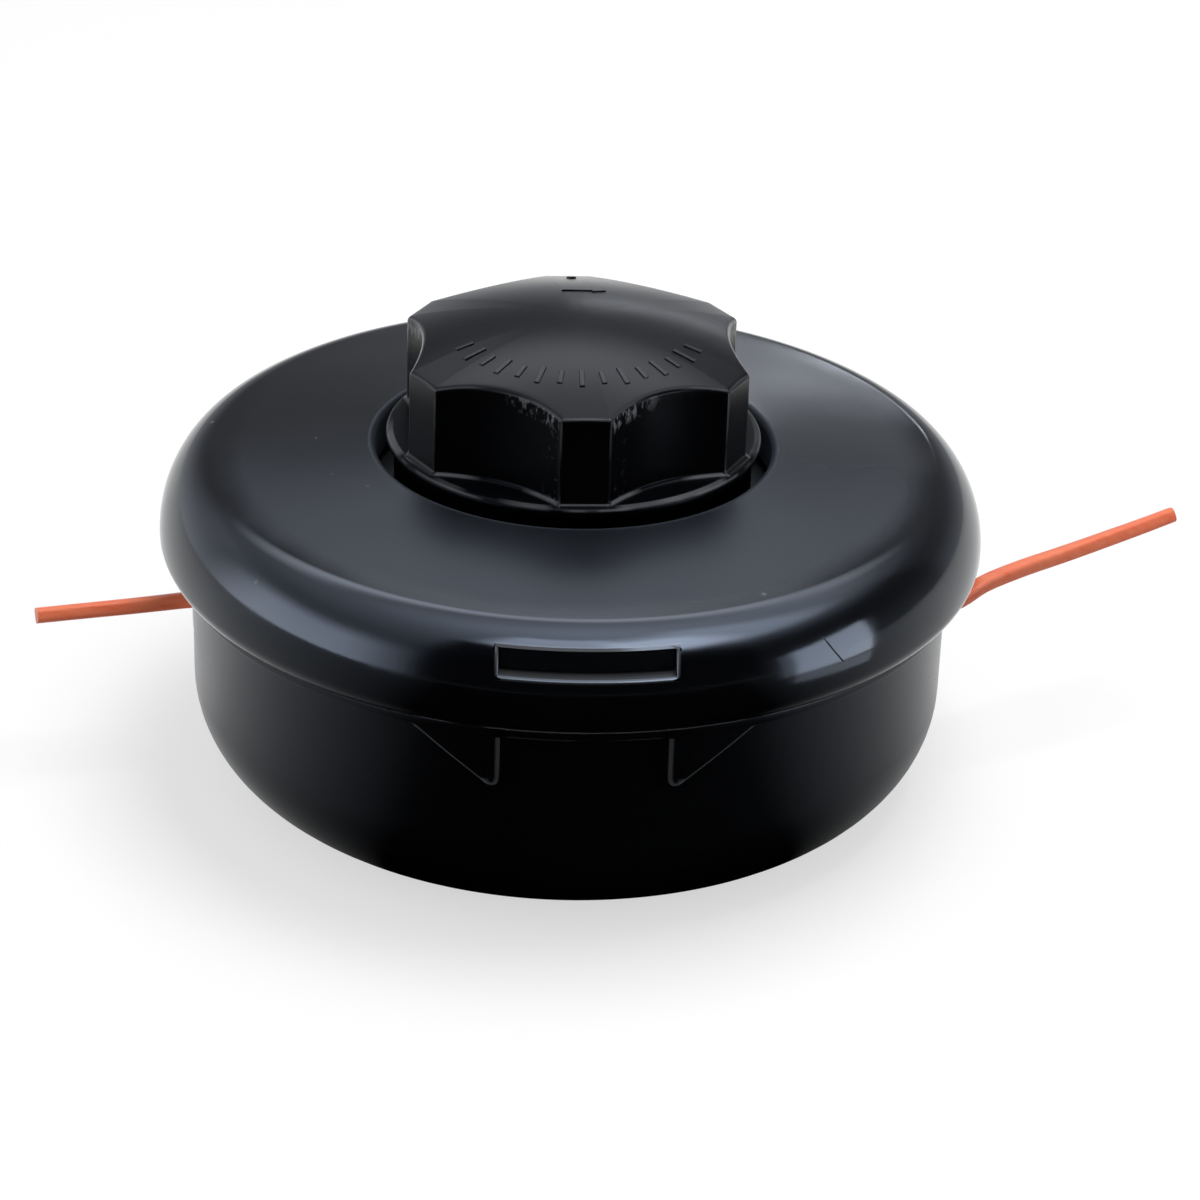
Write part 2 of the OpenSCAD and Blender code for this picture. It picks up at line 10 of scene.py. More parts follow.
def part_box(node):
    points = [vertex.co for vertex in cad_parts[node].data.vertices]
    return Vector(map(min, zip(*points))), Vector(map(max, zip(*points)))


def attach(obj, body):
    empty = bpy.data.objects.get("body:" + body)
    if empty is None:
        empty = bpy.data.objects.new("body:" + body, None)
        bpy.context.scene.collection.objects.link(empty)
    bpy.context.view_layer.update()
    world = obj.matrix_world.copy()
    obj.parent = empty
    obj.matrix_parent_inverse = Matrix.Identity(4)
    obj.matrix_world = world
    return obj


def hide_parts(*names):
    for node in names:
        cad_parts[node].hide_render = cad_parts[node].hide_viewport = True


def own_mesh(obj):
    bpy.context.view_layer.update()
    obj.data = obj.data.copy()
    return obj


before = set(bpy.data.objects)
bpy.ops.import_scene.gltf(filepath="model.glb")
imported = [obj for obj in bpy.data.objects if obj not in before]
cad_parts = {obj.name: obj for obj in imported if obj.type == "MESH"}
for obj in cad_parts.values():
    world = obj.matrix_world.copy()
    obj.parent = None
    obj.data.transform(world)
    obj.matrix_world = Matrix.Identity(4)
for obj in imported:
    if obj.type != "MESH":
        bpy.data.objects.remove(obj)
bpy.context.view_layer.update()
MM = 0.001


# Camera
# It stands in front of the head, a little to the left and well above, as the photograph does,
# and leans two degrees to one side. The aim is the point at the middle of the picture.
camera_place = Vector((-26.208, -535.852, 303.655)) * MM
camera_aim = Vector((5.03, -0.29, 26.65)) * MM
camera_lean = math.radians(1.987)
camera_data = bpy.data.cameras.new("camera")
camera_data.sensor_width = 36
camera_data.lens = 112.687
camera = bpy.data.objects.new("camera", camera_data)
bpy.context.collection.objects.link(camera)
camera.location = camera_place
look = (camera_aim - camera_place).to_track_quat("-Z", "Y").to_matrix()
camera.rotation_euler = (look @ Matrix.Rotation(camera_lean, 3, "Z")).to_euler()
bpy.context.scene.camera = camera
bpy.context.scene.view_settings.view_transform = "Standard"


# Line tails
# The two free ends of the nylon line, 2.4 mm thick and bright orange. The line is drawn with a
# rounded square section and keeps a slow twist from the coil. It is cut off square.
LINE_D = 2.4
LINE_TWIST = {"line_tail_left": (12, 30), "line_tail_right": (38, -25)}
LINE_ROUTES = {
    "line_tail_left": [
        (-54.4, 0, 26), (-60, 0, 26), (-65, -0.8, 25.8), (-70, -1.7, 25.6),
        (-75, -2.7, 25.5), (-80, -3.9, 25.5), (-84.6, -5.2, 25.6),
    ],
    "line_tail_right": [
        (54.4, 0, 26), (60, 0, 26), (63.5, 0.8, 26.8), (67.5, 2.8, 28.6), (74, 6.4, 29.6),
        (81, 10.2, 30.2), (88, 14, 30.9), (95, 17.9, 31.6), (101, 21.4, 32.2),
    ],
}


class Value:
    """One socket of a finish. Its operators add Math nodes."""

    def __init__(self, finish, socket):
        self.finish = finish
        self.socket = socket

    def maths(self, operation, first, second=0.0):
        return self.finish.add("ShaderNodeMath", {"operation": operation}, {0: first, 1: second})

    def __add__(self, other):
        return self.maths("ADD", self, other)

    def __mul__(self, other):
        return self.maths("MULTIPLY", self, other)

    def __sub__(self, other):
        return self.maths("SUBTRACT", self, other)

    def __rsub__(self, other):
        return self.maths("SUBTRACT", other, self)

    def __pow__(self, other):
        return self.maths("POWER", self, other)

    __radd__ = __add__
    __rmul__ = __mul__


class Finish:
    """A material. Numbers and colours go straight into the shader's sockets, values are linked."""

    def __init__(self, name, **principled):
        self.material = bpy.data.materials.new(name)
        self.material.use_nodes = True
        self.tree = self.material.node_tree
        self.shader = self.tree.nodes["Principled BSDF"]
        for socket, value in principled.items():
            self.set(socket.replace("_", " "), value)

    def set(self, socket, value):
        if isinstance(value, Value):
            self.tree.links.new(value.socket, self.shader.inputs[socket])
        else:
            self.shader.inputs[socket].default_value = value

    def add(self, kind, settings=None, inputs=None, output=0):
        made = self.tree.nodes.new(kind)
        for name, setting in (settings or {}).items():
            if name == "stops":
                ramp = made.color_ramp
                while len(ramp.elements) < len(setting):
                    ramp.elements.new(0.5)
                for stop, (place, colour) in zip(ramp.elements, setting):
                    stop.position = place
                    stop.color = colour
            else:
                setattr(made, name, setting)
        for name, value in (inputs or {}).items():
            if isinstance(value, Value):
                self.tree.links.new(value.socket, made.inputs[name])
            else:
                made.inputs[name].default_value = value
        return Value(self, made.outputs[output])

    def place(self):
        return self.add("ShaderNodeTexCoord", output="Object")

    def part(self, vector, axis):
        """One part of a vector, in millimetres."""
        return self.add("ShaderNodeSeparateXYZ", {}, {0: vector}, output=axis) * (1 / MM)

    def noise(self, size, detail=2.0, stretch=None):
        """Noise whose blotches are about size metres across."""
        where = self.place()
        if stretch:
            where = self.add("ShaderNodeMapping", {}, {"Vector": where, "Scale": stretch})
        return self.add("ShaderNodeTexNoise", {}, {"Vector": where, "Scale": 0.5 / size, "Detail": detail})

    def span(self, value, low, high, to_low=0.0, to_high=1.0):
        """The value between low and high, stretched to the new span."""
        return self.add("ShaderNodeMapRange", {}, {
            "Value": value, "From Min": low, "From Max": high, "To Min": to_low, "To Max": to_high})

    def band(self, value, low, high, blur):
        """1 where the value is between low and high, and 0 a blur further out."""
        return self.span(value, low - blur, low) * self.span(value, high + blur, high)

    def mix(self, share, first, second):
        """A colour between two, by share."""
        return self.add("ShaderNodeMix", {"data_type": "RGBA"}, {0: share, 6: first, 7: second}, output=2)

    def bump(self, height, distance, strength=1.0, onto=None):
        inputs = {"Height": height, "Distance": distance, "Strength": strength}
        if onto:
            inputs["Normal"] = onto
        return self.add("ShaderNodeBump", {}, inputs)


def smooth_route(points, between=4):
    """A smooth curve through the points, in metres, with more points between each two."""
    ends = [points[0]] + points + [points[-1]]
    curve = []
    for i in range(len(points) - 1):
        a, b, c, d = (Vector(p) for p in ends[i:i + 4])
        for step in range(between):
            t = step / between
            curve.append(MM * 0.5 * (2 * b + (c - a) * t + (2 * a - 5 * b + 4 * c - d) * t ** 2
                                     + (3 * b - a - 3 * c + d) * t ** 3))
    return curve + [Vector(points[-1]) * MM]


def line_section(corners=28, squareness=0.62):
    """The rounded square that the line is drawn to."""
    section = []
    for i in range(corners):
        a = 2 * math.pi * i / corners
        x, y = math.cos(a), math.sin(a)
        section.append(Vector((math.copysign(abs(x) ** squareness, x), math.copysign(abs(y) ** squareness, y), 0)))
    return section


line_finish = Finish("line_orange", Specular_IOR_Level=0.3)
drawn = line_finish.noise(0.5 * MM, 2, (0.04, 1, 1))
cloudy = line_finish.noise(6 * MM, 1)
line_finish.set("Base Color", line_finish.mix(
    line_finish.span(drawn * 0.7 + cloudy * 0.3, 0.3, 0.7), (0.96, 0.19, 0.085, 1), (1.0, 0.28, 0.14, 1)))
line_finish.set("Roughness", line_finish.span(drawn, 0.3, 0.7, 0.26, 0.42))
line_finish.set("Subsurface Weight", 0.15)
line_finish.set("Subsurface Radius", (1.2 * MM, 0.5 * MM, 0.3 * MM))
line_finish.set("Subsurface Scale", 1.0)
line_finish.set("Normal", line_finish.bump(drawn, 0.03 * MM, 0.4))

for name, route in LINE_ROUTES.items():
    path = smooth_route(route)
    section_curve = bpy.data.curves.new("line_section", "CURVE")
    spline = section_curve.splines.new("POLY")
    section = line_section()
    spline.points.add(len(section) - 1)
    for point, corner in zip(spline.points, section):
        point.co = (*(corner * LINE_D / 2 * 1.06 * MM), 1)
    spline.use_cyclic_u = True
    section_object = bpy.data.objects.new("line_section", section_curve)
    bpy.context.collection.objects.link(section_object)

    tail_curve = bpy.data.curves.new(name, "CURVE")
    tail_curve.dimensions = "3D"
    spline = tail_curve.splines.new("POLY")
    spline.points.add(len(path) - 1)
    first, last = LINE_TWIST[name]
    for i, (point, place) in enumerate(zip(spline.points, path)):
        point.co = (*place, 1)
        point.tilt = math.radians(first + (last - first) * i / (len(path) - 1))
    tail_curve.bevel_mode = "OBJECT"
    tail_curve.bevel_object = section_object
    tail_curve.use_fill_caps = True
    tail = bpy.data.objects.new(name + "_line", tail_curve)
    bpy.context.collection.objects.link(tail)
    bpy.ops.object.select_all(action="DESELECT")
    tail.select_set(True)
    bpy.context.view_layer.objects.active = tail
    bpy.ops.object.convert(target="MESH")
    bpy.data.objects.remove(section_object)
    bpy.ops.object.mode_set(mode="EDIT")
    bpy.ops.mesh.select_mode(type="FACE")
    bpy.ops.mesh.select_all(action="DESELECT")
    skin = bmesh.from_edit_mesh(tail.data)
    for face in skin.faces:
        face.select_set(len(face.verts) > 4)
    bmesh.update_edit_mesh(tail.data)
    bpy.ops.mesh.inset(thickness=0.25 * MM, depth=0)
    bpy.ops.mesh.select_all(action="SELECT")
    bpy.ops.mesh.normals_make_consistent(inside=False)
    bpy.ops.object.mode_set(mode="OBJECT")
    bpy.ops.object.shade_smooth_by_angle(angle=math.radians(50))
    tail.data.materials.clear()
    tail.data.materials.append(line_finish.material)
    tail.visible_glossy = False
    side = 1 if route[0][0] > 0 else -1
    length = sum((b - a).length for a, b in zip(path, path[1:]))
    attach(tail, "drum")
    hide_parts(name)
    side * 60 * MM


# Drum
# The lower half: a round tub of black nylon with a ledge for the cover, two latch tongues with
# their guards, a hub in the middle and, below, a ring channel with ribs. It is moulded in one.
DRUM_R = 60
DRUM_INNER_R = 57.4
CORNER_R = 16
CORNER_C = DRUM_R - CORNER_R
FLOOR_T = 4.4
LEDGE_R = 62.4
LEDGE_Z = (35.5, 37)
RIM_TOP = 44
HOOK_R = 61.9
HOOK_Z = (46.75, 49.75)
HOOK_X = 12.7
SLOT_W = 1.2
EYELET_Z = 26
GUARD_R = 62.3
SEAT_R = 12.5
HUB_R = 13.2
HUB_TOP = 25.8


def arc(centre, size, first, last, steps):
    """Points on an ellipse round centre, from one angle to another, in degrees."""
    angles = [math.radians(first + (last - first) * i / steps) for i in range(steps + 1)]
    return [(centre[0] + size[0] * math.cos(a), centre[1] + size[1] * math.sin(a)) for a in angles]


def alone(piece):
    bpy.ops.object.select_all(action="DESELECT")
    piece.select_set(True)
    bpy.context.view_layer.objects.active = piece


def outlined(name, points, fill="NGON"):
    """A flat outline, made from a circle whose points go to the given places, in millimetres."""
    bpy.ops.object.select_all(action="DESELECT")
    bpy.ops.mesh.primitive_circle_add(vertices=len(points), radius=1, fill_type=fill)
    piece = bpy.context.object
    piece.name = name
    for vertex, point in zip(piece.data.vertices, points):
        vertex.co = Vector(point) * MM
    return piece


def turned(name, outline, steps=192, start=0, turn=360):
    """A closed outline of radii and heights, turned round the Z axis."""
    away = Matrix.Rotation(math.radians(start), 3, "Z")
    piece = outlined(name, [away @ Vector((r, 0, z)) for r, z in outline], "NOTHING")
    bpy.ops.object.mode_set(mode="EDIT")
    bpy.ops.mesh.select_all(action="SELECT")
    bpy.ops.mesh.spin(steps=steps, angle=math.radians(turn), center=(0, 0, 0), axis=(0, 0, 1))
    bpy.ops.mesh.select_all(action="SELECT")
    bpy.ops.mesh.remove_doubles(threshold=0.002 * MM)
    if turn < 360:
        bpy.ops.mesh.fill_holes(sides=0)
    bpy.ops.mesh.normals_make_consistent(inside=False)
    bpy.ops.object.mode_set(mode="OBJECT")
    return piece


def block(low, high):
    """A box between two corners."""
    low, high = (Vector([pick(pair) for pair in zip(low, high)]) * MM for pick in (min, max))
    bpy.ops.object.select_all(action="DESELECT")
    bpy.ops.mesh.primitive_cube_add(size=1, location=(low + high) / 2, scale=high - low)
    return bpy.context.object


def rod(radius, low, high, sides=64, turn=0):
    """An upright cylinder, or a prism with few sides."""
    bpy.ops.object.select_all(action="DESELECT")
    bpy.ops.mesh.primitive_cylinder_add(
        vertices=sides, radius=radius * MM, depth=(high - low) * MM,
        location=(0, 0, (low + high) / 2 * MM), rotation=(0, 0, math.radians(turn)))
    bpy.ops.object.transform_apply(location=True, rotation=True, scale=True)
    return bpy.context.object


def joined(pieces):
    bpy.ops.object.select_all(action="DESELECT")
    for piece in pieces:
        piece.select_set(True)
    bpy.context.view_layer.objects.active = pieces[0]
    bpy.ops.object.join()
    return pieces[0]


def copied(piece, matrix):
    """A copy with its own mesh, moved by the matrix. A mirrored one is turned right side out."""
    copy = piece.copy()
    copy.data = piece.data.copy()
    copy.data.transform(matrix)
    if matrix.determinant() < 0:
        copy.data.flip_normals()
    bpy.context.collection.objects.link(copy)
    return copy


def carve(piece, cutter, operation="DIFFERENCE"):
    alone(piece)
    modifier = piece.modifiers.new("carve", "BOOLEAN")
    modifier.object = cutter
    modifier.operation = operation
    modifier.solver = "EXACT"
    bpy.ops.object.modifier_apply(modifier=modifier.name)
    bpy.data.objects.remove(cutter)


def soften(piece, width, segments, chosen, sharp=25):
    """Rounds the sharp edges whose two ends are chosen."""
    alone(piece)
    bpy.ops.object.mode_set(mode="EDIT")
    bpy.ops.mesh.select_all(action="SELECT")
    bpy.ops.mesh.remove_doubles(threshold=0.002 * MM)
    bpy.ops.mesh.select_mode(type="EDGE")
    bpy.ops.mesh.select_all(action="DESELECT")
    skin = bmesh.from_edit_mesh(piece.data)
    for edge in skin.edges:
        if edge.calc_face_angle(0) > math.radians(sharp):
            edge.select_set(all(chosen(*(vertex.co / MM)) for vertex in edge.verts))
    bmesh.update_edit_mesh(piece.data)
    bpy.ops.mesh.bevel(offset=width * MM, segments=segments, profile=0.5)
    bpy.ops.object.mode_set(mode="OBJECT")


def even(piece, angle=35):
    """Smooth where the faces turn gently, and true on the flats."""
    alone(piece)
    bpy.ops.object.shade_smooth_by_angle(angle=math.radians(angle))
    modifier = piece.modifiers.new("even", "WEIGHTED_NORMAL")
    modifier.keep_sharp = True
    bpy.ops.object.modifier_apply(modifier=modifier.name)


def fit(piece, finish, body, slot, *nodes):
    piece.data.materials.clear()
    piece.data.materials.append(finish.material)
    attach(piece, body)
    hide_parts(*nodes)


drum = turned("drum", [
    (6.5, 22.8), (8.4, 22.8), (8.4, 2), (SEAT_R, 2), (SEAT_R, 0.5), (SEAT_R + 0.5, 0), (CORNER_C, 0),
    *arc((CORNER_C, CORNER_R), (CORNER_R, CORNER_R), -85, 0, 17),
    (DRUM_R, LEDGE_Z[0] - 0.4), (DRUM_R + 0.12, LEDGE_Z[0] - 0.12), (DRUM_R + 0.4, LEDGE_Z[0]),
    (LEDGE_R - 0.35, LEDGE_Z[0]), (LEDGE_R - 0.1, LEDGE_Z[0] + 0.1), (LEDGE_R, LEDGE_Z[0] + 0.35),
    (LEDGE_R, LEDGE_Z[1] - 0.35), (LEDGE_R - 0.1, LEDGE_Z[1] - 0.1), (LEDGE_R - 0.35, LEDGE_Z[1]),
    (DRUM_R, LEDGE_Z[1]), (DRUM_R, HOOK_Z[0]), (HOOK_R - 0.2, HOOK_Z[0]), (HOOK_R, HOOK_Z[0] + 0.2),
    (HOOK_R - 0.5, HOOK_Z[1] - 0.5), (HOOK_R - 1, HOOK_Z[1]), (DRUM_INNER_R, HOOK_Z[1]),
    *arc((CORNER_C, CORNER_R), (13.4, 13.4), 0, -59.9, 12),
    (HUB_R, FLOOR_T), (HUB_R, HUB_TOP), (6.5, HUB_TOP),
])
carve(drum, joined([block((s * HOOK_X, -70, RIM_TOP), (s * 75, 70, 60)) for s in (-1, 1)]))
carve(drum, joined([
    block((s * 12.1 - SLOT_W / 2, t * 44, LEDGE_Z[0]), (s * 12.1 + SLOT_W / 2, t * 75, RIM_TOP + 0.6))
    for s in (-1, 1) for t in (-1, 1)]))

channel = turned("channel", [(19.5, -1), (CORNER_C - 4, -1), (CORNER_C - 4, 1.9), (19.5, 1.9)], steps=96)
ribs = []
for i in range(12):
    rib = block((15, -1, -2), (46, 1, 3))
    bpy.ops.object.transform_apply(location=True, rotation=True, scale=True)
    rib.data.transform(Matrix.Rotation(math.radians(30 * (i + 0.5)), 4, "Z"))
    ribs.append(rib)
carve(channel, joined(ribs))
carve(drum, channel)
soften(drum, 0.35, 2, lambda x, y, z: abs(z) < 0.01 and 15 < math.hypot(x, y) < 42)
carve(drum, rod(17.2 / 2 / math.cos(math.radians(30)), -1, 10.2, 6))

# A guard: upright beside the latch, round at its foot, slanted on the far side
guard_outline = [(-12.35, 36), *arc((-13.55, 28.2), (1.2, 1.2), 0, -126.2, 8), (-26.23, 36)]
guard = outlined("guard", [(x, -50, z) for x, z in guard_outline])
bpy.ops.object.mode_set(mode="EDIT")
bpy.ops.mesh.select_all(action="SELECT")
bpy.ops.mesh.extrude_region_move(TRANSFORM_OT_translate={"value": (0, -20 * MM, 0)})
bpy.ops.mesh.select_all(action="SELECT")
bpy.ops.mesh.normals_make_consistent(inside=False)
bpy.ops.object.mode_set(mode="OBJECT")
carve(guard, turned("guard_ring", [(59.4, 20), (GUARD_R, 20), (GUARD_R, 38), (59.4, 38)]), "INTERSECT")
soften(guard, 0.7, 3, lambda x, y, z: math.hypot(x, y) > GUARD_R - 0.05 and z < 35.9)
guards = [guard, copied(guard, Matrix.Scale(-1, 4, (1, 0, 0)))]
guards += [copied(g, Matrix.Rotation(math.pi, 4, "Z")) for g in guards]
carve(drum, joined(guards), "UNION")

seats = []
for s in (-1, 1):
    for radius, depth in ((3.4, 8), (5.0, 0.85)):
        bpy.ops.object.select_all(action="DESELECT")
        bpy.ops.mesh.primitive_cylinder_add(
            vertices=48, radius=radius * MM, depth=2 * depth * MM,
            location=(s * DRUM_R * MM, 0, EYELET_Z * MM), rotation=(0, math.pi / 2, 0))
        carve(drum, bpy.context.object)

# A part turn runs clockwise, so a lug starts at its left end
lugs = [turned("lug", [(26, 3.9), (34, 3.9), (34, 8.4), (26, 8.4)], 6, 60 * i + 4, 8) for i in range(6)]
joined([drum, *lugs])
even(drum)


class MouldedBlack(Finish):
    """Black nylon from a polished mould: faint flow marks, fine scuffs and a little unevenness."""

    def __init__(self, name, tone, rough, shine, grain=0.0):
        super().__init__(name, Specular_IOR_Level=shine, Specular_Tint=(0.72, 0.83, 1, 1))
        where = self.place()
        self.x, self.y, self.z = (self.part(where, axis) for axis in range(3))
        self.away = (self.x * self.x + self.y * self.y) ** 0.5
        flow = self.noise(18 * MM, 3)
        self.tone = self.mix(
            self.span(flow, 0.3, 0.7), (*[c * 0.8 for c in tone], 1), (*[c * 1.2 for c in tone], 1))
        self.set("Base Color", self.tone)
        self.set("Roughness", self.span(flow, 0.3, 0.7, rough * 0.88, rough * 1.15))
        skin = self.bump(self.noise(0.5 * MM, 3), 0.02 * MM, 0.2 + grain)
        self.set("Normal", self.bump(self.noise(9 * MM, 1), 0.12 * MM, 0.5, onto=skin))

    def broken(self, size, low=0.42, high=0.56):
        """Comes and goes in lengths of about size millimetres."""
        return self.span(self.noise(size * MM, 2), low, high)

    def paint_highlights_and_spots(self, share):
        """Greys the black by share: painted highlights along edges and on grain, and a few lighter spots."""
        self.set("Base Color", self.mix(share, self.tone, (0.5, 0.52, 0.56, 1)))


drum_finish = MouldedBlack("drum_black", (0.0016, 0.0017, 0.0022), 0.26, 0.5)
across = drum_finish.x.maths("ABSOLUTE", drum_finish.x)
below_ledge = drum_finish.span(drum_finish.z, 35.5, 35.3) * drum_finish.span(drum_finish.away, 60.1, 60.4)
on_guard = drum_finish.span(drum_finish.away, 61.6, 61.9) * below_ledge
foot_across, foot_up = across - 13.55, drum_finish.z - 28.2
foot_away = (foot_across * foot_across + foot_up * foot_up) ** 0.5
# Painted highlights: grey lines along the guards' upright edges, round feet and slanted edges, and a faint broken
# line along the lower edge of the ledge
guard_side_highlight = drum_finish.band(across, 12.2, 12.8, 0.35) * drum_finish.span(drum_finish.z, 28.0, 28.6) * below_ledge
guard_foot_highlight = drum_finish.band(foot_away, 0.55, 1.25, 0.3) * drum_finish.span(drum_finish.z, 28.6, 28.0) * on_guard
slant = (across - 14.26) * 0.591 - (drum_finish.z - 27.23) * 0.8066
guard_slant_highlight = drum_finish.band(slant, -0.42, -0.08, 0.12) * drum_finish.span(across, 13.9, 14.4) * on_guard
ledge_edge_highlight = drum_finish.band(drum_finish.z, 35.35, 35.75, 0.15) * drum_finish.span(across, 12, 11)
drum_finish.paint_highlights_and_spots(
    guard_side_highlight * 0.085 + guard_foot_highlight * 0.1 + guard_slant_highlight * 0.12
    + ledge_edge_highlight * drum_finish.span(drum_finish.away, 60.2, 60.6) * drum_finish.broken(5) * 0.03)
fit(drum, drum_finish, "drum", "drum_black", "housing")


# Eyelets
# Two bright metal sleeves pressed into the wall of the drum, so that the line doesn't saw
# through it. Each has a rounded lip that lies flush in a recess, and a flared mouth.
eyelet_finish = Finish("eyelet_metal", Base_Color=(0.62, 0.63, 0.65, 1), Metallic=1.0)
worn = eyelet_finish.noise(0.8 * MM, 3)
eyelet_finish.set("Roughness", eyelet_finish.span(worn, 0.3, 0.7, 0.2, 0.42))
eyelet_finish.set("Normal", eyelet_finish.bump(worn, 0.02 * MM, 0.4))
EYELET_OUTLINE = [
    (2, 57.1), (3.3, 57.1), (3.3, 59.2), *arc((4.5, 59.6), (0.4, 0.4), -90, 90, 8),
    *arc((2.8, 59.2), (0.8, 0.8), 90, 180, 6),
]
for side, name in ((1, "eyelet_right"), (-1, "eyelet_left")):
    eyelet = turned(name + "_ring", EYELET_OUTLINE, 64)
    eyelet.data.transform(Matrix.Translation((0, 0, EYELET_Z * MM)) @ Matrix.Rotation(side * math.pi / 2, 4, "Y"))
    even(eyelet)
    fit(eyelet, eyelet_finish, "drum", "eyelet_metal", name)


# Cover
# The upper half: a shallow dish of glossy black nylon with a round shoulder. It snaps down
# over the drum, and the two hooks catch in its windows. The knob stands in its round opening.
COVER_Z = 37.05
BELLY_Z = 40.45
SHOULDER_R = 56
SHOULDER = (9, 12.3)
BELLY = (9, 5.14)
OPENING_R = 31.2
LIP_Z = 54.95
LIP_ROUND = 0.9
WINDOW_X = 12.8
WINDOW_Z = (46.45, 49.95)

cover = turned("lid", [
    (60.35, COVER_Z), (62.3, COVER_Z), (62.55, COVER_Z + 0.08),
    *arc((SHOULDER_R, BELLY_Z), BELLY, -38, 0, 8),
    *arc((SHOULDER_R, BELLY_Z), SHOULDER, 4, 86.2, 28)[0:],
    (52, 53.12), (46, 53.65), (40, 54.18), (34, 54.7),
    *arc((OPENING_R + LIP_ROUND, LIP_Z - LIP_ROUND), (LIP_ROUND, LIP_ROUND), 86, 180, 8),
    (OPENING_R, 48.8), (OPENING_R + 0.25, 48.55), (33.4, 48.55), (33.4, 52.35),
    *arc((SHOULDER_R, BELLY_Z), (6.6, 9.9), 88, 0, 16),
], 256)
carve(cover, joined([
    block((-WINDOW_X, t * 53.6, WINDOW_Z[0]), (WINDOW_X, t * 75, WINDOW_Z[1])) for t in (-1, 1)]))


def on_cover_outside(x, y, z):
    """Whether a point is on the outside of the shoulder, beside a window."""
    out = ((math.hypot(x, y) - SHOULDER_R) / SHOULDER[0]) ** 2 + ((z - BELLY_Z) / SHOULDER[1]) ** 2
    return abs(out - 1) < 0.02 and abs(x) < WINDOW_X + 0.05 and WINDOW_Z[0] - 0.05 < z < WINDOW_Z[1] + 0.05


soften(cover, 0.55, 4, on_cover_outside)
cover_lugs = [
    turned("lug", [(40, 47.6), (46, 47.6), (46, 52), (40, 52)], 6, 60 * i + 4, 8) for i in range(6)]
joined([cover, *cover_lugs])
even(cover)
cover_finish = MouldedBlack("cover_black", (0.0016, 0.0017, 0.0022), 0.15, 0.5)
satin = cover_finish.span(cover_finish.away + cover_finish.noise(12 * MM, 2) * 3, 58.5, 53.5)
satin_rough = cover_finish.span(cover_finish.y, 10, -30, 0.2, 0.38)
worn_satin = satin_rough + cover_finish.noise(14 * MM, 4) * 0.12 - 0.06
polished = cover_finish.span(cover_finish.noise(11 * MM, 3), 0.45, 0.7, 0.1, 0.2)
dull = cover_finish.span(cover_finish.away, OPENING_R + 0.3, OPENING_R + 1.2, 0.8, 0)
scratch = cover_finish.x - 34.95 + (cover_finish.z - 47.79) * 0.77
dull += cover_finish.band(scratch, -0.06, 0.06, 0.1) * cover_finish.band(cover_finish.z, 43.7, 47.7, 0.2) * (
    cover_finish.span(cover_finish.y, -50, -51))
cover_finish.set("Roughness", polished + satin * (worn_satin - polished) + dull)
# Painted highlights: a broken light line along the lower edge, and a light frame round each window that is
# brightest along its top
lower_edge_highlight = cover_finish.band(cover_finish.z, 36.9, 37.8, 0.2) * cover_finish.broken(5, 0.4, 0.5)
beside = cover_finish.x.maths("ABSOLUTE", cover_finish.x) - WINDOW_X
over = cover_finish.z - (WINDOW_Z[0] + WINDOW_Z[1]) / 2
over = over.maths("ABSOLUTE", over) - (WINDOW_Z[1] - WINDOW_Z[0]) / 2
window_edge_highlight = cover_finish.band(beside.maths("MAXIMUM", beside, over), -0.05, 0.35, 0.3)
window_edge_highlight *= cover_finish.span(cover_finish.y.maths("ABSOLUTE", cover_finish.y), 56, 57)
# Small light spots at listed places, each with its size and share of grey
LIGHT_SPOTS = [
    ((-57.2, 10.6, 52.4), 0.5, 0.2), ((-40.4, 1.2, 54.1), 0.4, 0.09), ((-37.7, -12.1, 54.2), 0.35, 0.08),
    ((-32.1, -16.8, 54.5), 0.4, 0.09), ((-48.3, -39.2, 49.3), 0.5, 0.12), ((26.2, -48.6, 52.8), 0.55, 0.16),
    ((35.2, -52.7, 47.4), 0.35, 0.1),
]
window_edge_highlight *= cover_finish.span(cover_finish.z, WINDOW_Z[0] - 1, WINDOW_Z[1], 0.05, 0.2)
painted_highlights_and_spots = lower_edge_highlight * 0.2 + window_edge_highlight
for spot, size, share in LIGHT_SPOTS:
    far = cover_finish.add("ShaderNodeVectorMath", {"operation": "DISTANCE"}, {
        0: cover_finish.place(), 1: [c * MM for c in spot]}, output=1) * (1 / MM)
    painted_highlights_and_spots += cover_finish.span(far, size, size * 0.4) * share
cover_finish.paint_highlights_and_spots(painted_highlights_and_spots)
fit(cover, cover_finish, "drum", "cover_black", "cover")


# Knob
# The part that is tapped on the ground: black nylon with six blunt lobes, a domed end and a ring
# round the foot. The end is fine and satin, and the hollows between the lobes are grained.
KNOB_R = 28
TIP_W = 7.5
SCALLOP_DEPTH = 2.2
KNOB_TURN = 1
KNOB_TOP = 76.15
DOME_DROP = 5 / KNOB_R ** 2
RING_R = 29.5
RING_Z = (55.15, 56.95)
TIP_ROUND = 0.7
EDGE_ROUND = 0.65
FOOT_ROUND = 0.8

tip_corner = math.hypot(KNOB_R, TIP_W / 2)
tip_angle = math.radians(30) - math.atan2(TIP_W / 2, KNOB_R)
scallop_half = tip_corner * math.sin(tip_angle)
scallop_cut = (scallop_half ** 2 + SCALLOP_DEPTH ** 2) / (2 * SCALLOP_DEPTH)
scallop_centre = tip_corner * math.cos(tip_angle) - SCALLOP_DEPTH + scallop_cut


